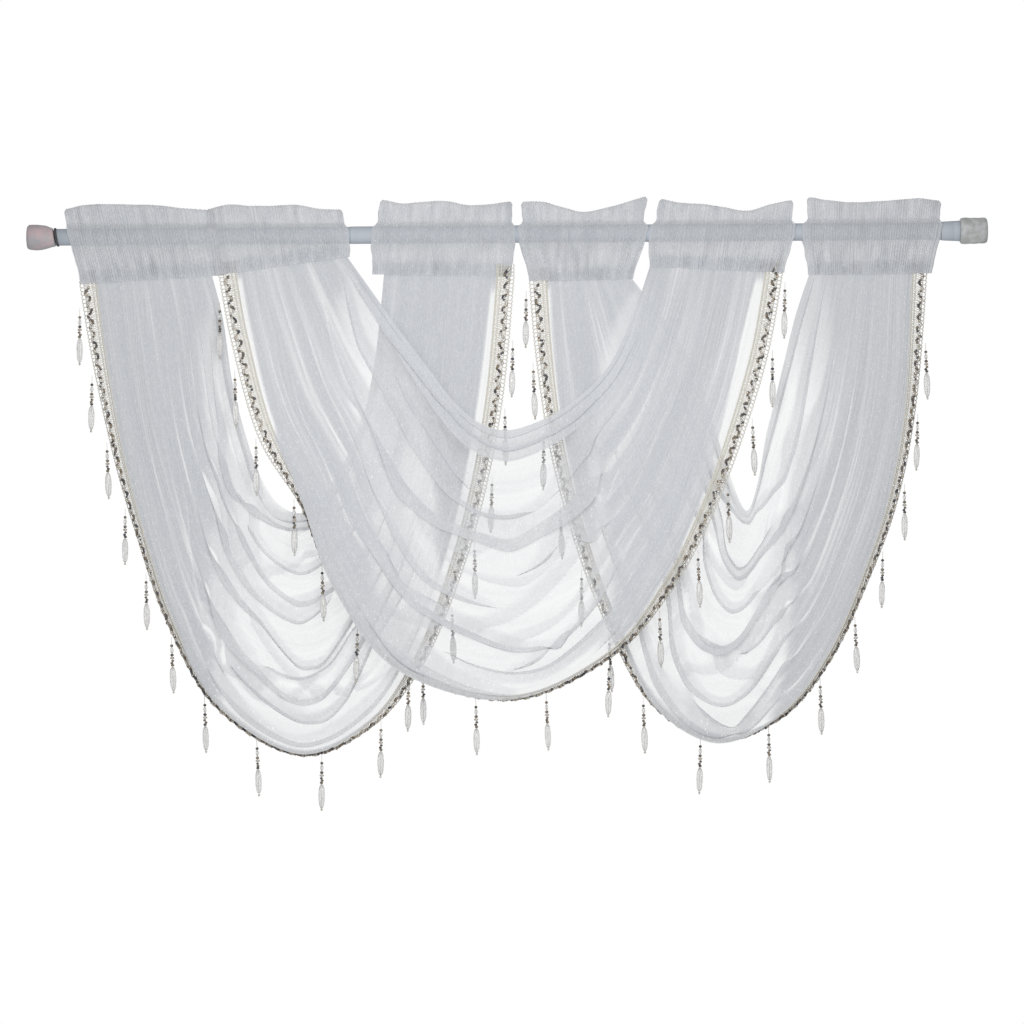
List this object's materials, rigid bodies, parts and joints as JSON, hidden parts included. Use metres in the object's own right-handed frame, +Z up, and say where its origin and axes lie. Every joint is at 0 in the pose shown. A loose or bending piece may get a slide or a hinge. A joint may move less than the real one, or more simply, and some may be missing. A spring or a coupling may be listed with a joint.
{
  "type": "sheer swag valance on rod",
  "caption": "Sheer window valance: overlapping cowl-draped swags with ruffled rod-pocket headings and a beaded braid with hanging bead drops, on a plain straight curtain rod.",
  "frame": {"origin": "centre of the left end cap's flat outer face, on the rod's axis", "axes": "+X along the rod to the right, -Y towards the room and the viewer, +Z up"},
  "size_m": [1.373, 0.0917, 0.8754],
  "materials": {
    "sheer_voile": "sheer white crinkled voile with fine glints",
    "beaded_braid": "cream ladder braid with small dark and silver beads",
    "clear_bead": "clear faceted bead",
    "dark_bead": "gloss dark grey bead",
    "rod_paint": "smooth pale painted tube",
    "dark_ring": "matte dark ring",
    "end_cap": "soft pale end cap"
  },
  "bodies": {
    "root": {"end_cap_left": "end_cap", "end_ring_left": "dark_ring", "rod_inner_tube": "rod_paint", "rod_outer_tube": "rod_paint", "end_sleeve_right": "rod_paint", "end_cap_right": "end_cap", "heading_left_1": "sheer_voile", "heading_middle_1": "sheer_voile", "heading_left_2": "sheer_voile", "heading_right_1": "sheer_voile", "heading_middle_2": "sheer_voile", "heading_right_2": "sheer_voile", "swag_left": "sheer_voile", "swag_middle": "sheer_voile", "swag_right": "sheer_voile", "trim_left": "beaded_braid", "trim_middle": "beaded_braid", "trim_right": "beaded_braid"}
  },
  "joints": []
}
